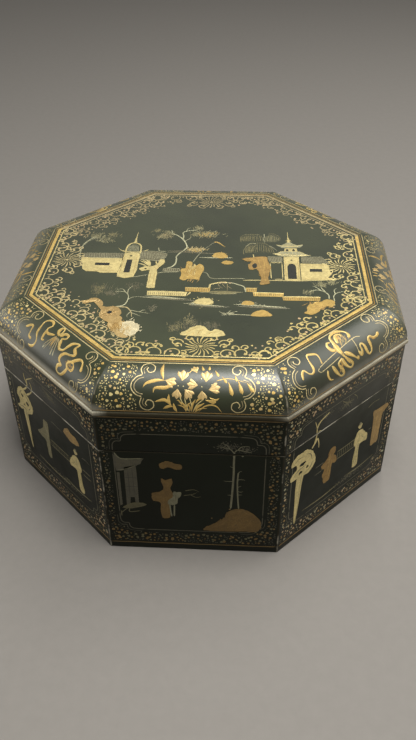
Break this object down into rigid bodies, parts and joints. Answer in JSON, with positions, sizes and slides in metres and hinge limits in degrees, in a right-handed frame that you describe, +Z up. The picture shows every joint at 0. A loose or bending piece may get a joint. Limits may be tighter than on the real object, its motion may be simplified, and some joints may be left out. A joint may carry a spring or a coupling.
{
  "type": "lacquer tea box",
  "caption": "Octagonal lacquered wood tea box with a lift-off cushion-moulded lid, holding capped and stoppered pewter tea canisters either side of a partition.",
  "frame": {"origin": "middle of the underside of the base board", "axes": "+Z up through the lid, -Y towards the front side, +X towards the right side as seen from the front"},
  "size_m": [0.2424, 0.2424, 0.1267],
  "materials": {
    "black_lacquer": "greenish black lacquer, satin gloss with a faint haze, worn pale on the arrises",
    "inside_lacquer": "plain brown-black lacquer, satin",
    "gold_paint": "two-tone gold painted and powdered on the lacquer, slightly rubbed",
    "pewter": "dull grey pewter sheet with engraved lines",
    "bone": "turned bone, satin"
  },
  "bodies": {
    "box": {"base_board": "black_lacquer", "body_wall_front": "black_lacquer", "body_wall_front_right": "black_lacquer", "body_wall_right": "black_lacquer", "body_wall_back_right": "black_lacquer", "body_wall_back": "black_lacquer", "body_wall_back_left": "black_lacquer", "body_wall_left": "black_lacquer", "body_wall_front_left": "black_lacquer", "lining_front": "inside_lacquer", "lining_front_right": "inside_lacquer", "lining_right": "inside_lacquer", "lining_back_right": "inside_lacquer", "lining_back": "inside_lacquer", "lining_back_left": "inside_lacquer", "lining_left": "inside_lacquer", "lining_front_left": "inside_lacquer", "partition_board": "inside_lacquer"},
    "lid": {"lid_wall_front": "black_lacquer", "lid_wall_front_right": "black_lacquer", "lid_wall_right": "black_lacquer", "lid_wall_back_right": "black_lacquer", "lid_wall_back": "black_lacquer", "lid_wall_back_left": "black_lacquer", "lid_wall_left": "black_lacquer", "lid_wall_front_left": "black_lacquer", "lid_moulding_front": "black_lacquer", "lid_moulding_front_right": "black_lacquer", "lid_moulding_right": "black_lacquer", "lid_moulding_back_right": "black_lacquer", "lid_moulding_back": "black_lacquer", "lid_moulding_back_left": "black_lacquer", "lid_moulding_left": "black_lacquer", "lid_moulding_front_left": "black_lacquer", "lid_top_board": "black_lacquer"},
    "right_canister": {"right_canister_base": "pewter", "right_canister_wall": "pewter", "right_canister_top": "pewter", "right_canister_neck": "pewter"},
    "right_stopper": {"right_canister_stopper": "pewter", "right_canister_stopper_knob": "bone"},
    "right_cap": {"right_canister_cap": "pewter"},
    "left_canister": {"left_canister_base": "pewter", "left_canister_wall": "pewter", "left_canister_top": "pewter", "left_canister_neck": "pewter"},
    "left_stopper": {"left_canister_stopper": "pewter", "left_canister_stopper_knob": "bone"},
    "left_cap": {"left_canister_cap": "pewter"}
  },
  "joints": [
    {"name": "lid_lift", "type": "slide", "parent": "box", "child": "lid", "axis": [0, 0, 1], "range_m": [0, 0.24]},
    {"name": "right_canister_lift", "type": "slide", "parent": "box", "child": "right_canister", "axis": [0, 0, 1], "range_m": [0, 0.09]},
    {"name": "left_canister_lift", "type": "slide", "parent": "box", "child": "left_canister", "axis": [0, 0, 1], "range_m": [0, 0.09]},
    {"name": "right_cap_lift", "type": "slide", "parent": "right_canister", "child": "right_cap", "axis": [0, 0, 1], "range_m": [0, 0.096]},
    {"name": "left_cap_lift", "type": "slide", "parent": "left_canister", "child": "left_cap", "axis": [0, 0, 1], "range_m": [0, 0.096]},
    {"name": "right_stopper_lift", "type": "slide", "parent": "right_canister", "child": "right_stopper", "axis": [0, 0, 1], "range_m": [0, 0.048]},
    {"name": "left_stopper_lift", "type": "slide", "parent": "left_canister", "child": "left_stopper", "axis": [0, 0, 1], "range_m": [0, 0.048]}
  ],
  "couplings": [
    {"joint": "right_canister_lift", "follows": "lid_lift", "ratio": 0.375},
    {"joint": "left_canister_lift", "follows": "lid_lift", "ratio": 0.375},
    {"joint": "right_cap_lift", "follows": "lid_lift", "ratio": 0.4},
    {"joint": "left_cap_lift", "follows": "lid_lift", "ratio": 0.4},
    {"joint": "right_stopper_lift", "follows": "lid_lift", "ratio": 0.2},
    {"joint": "left_stopper_lift", "follows": "lid_lift", "ratio": 0.2}
  ]
}
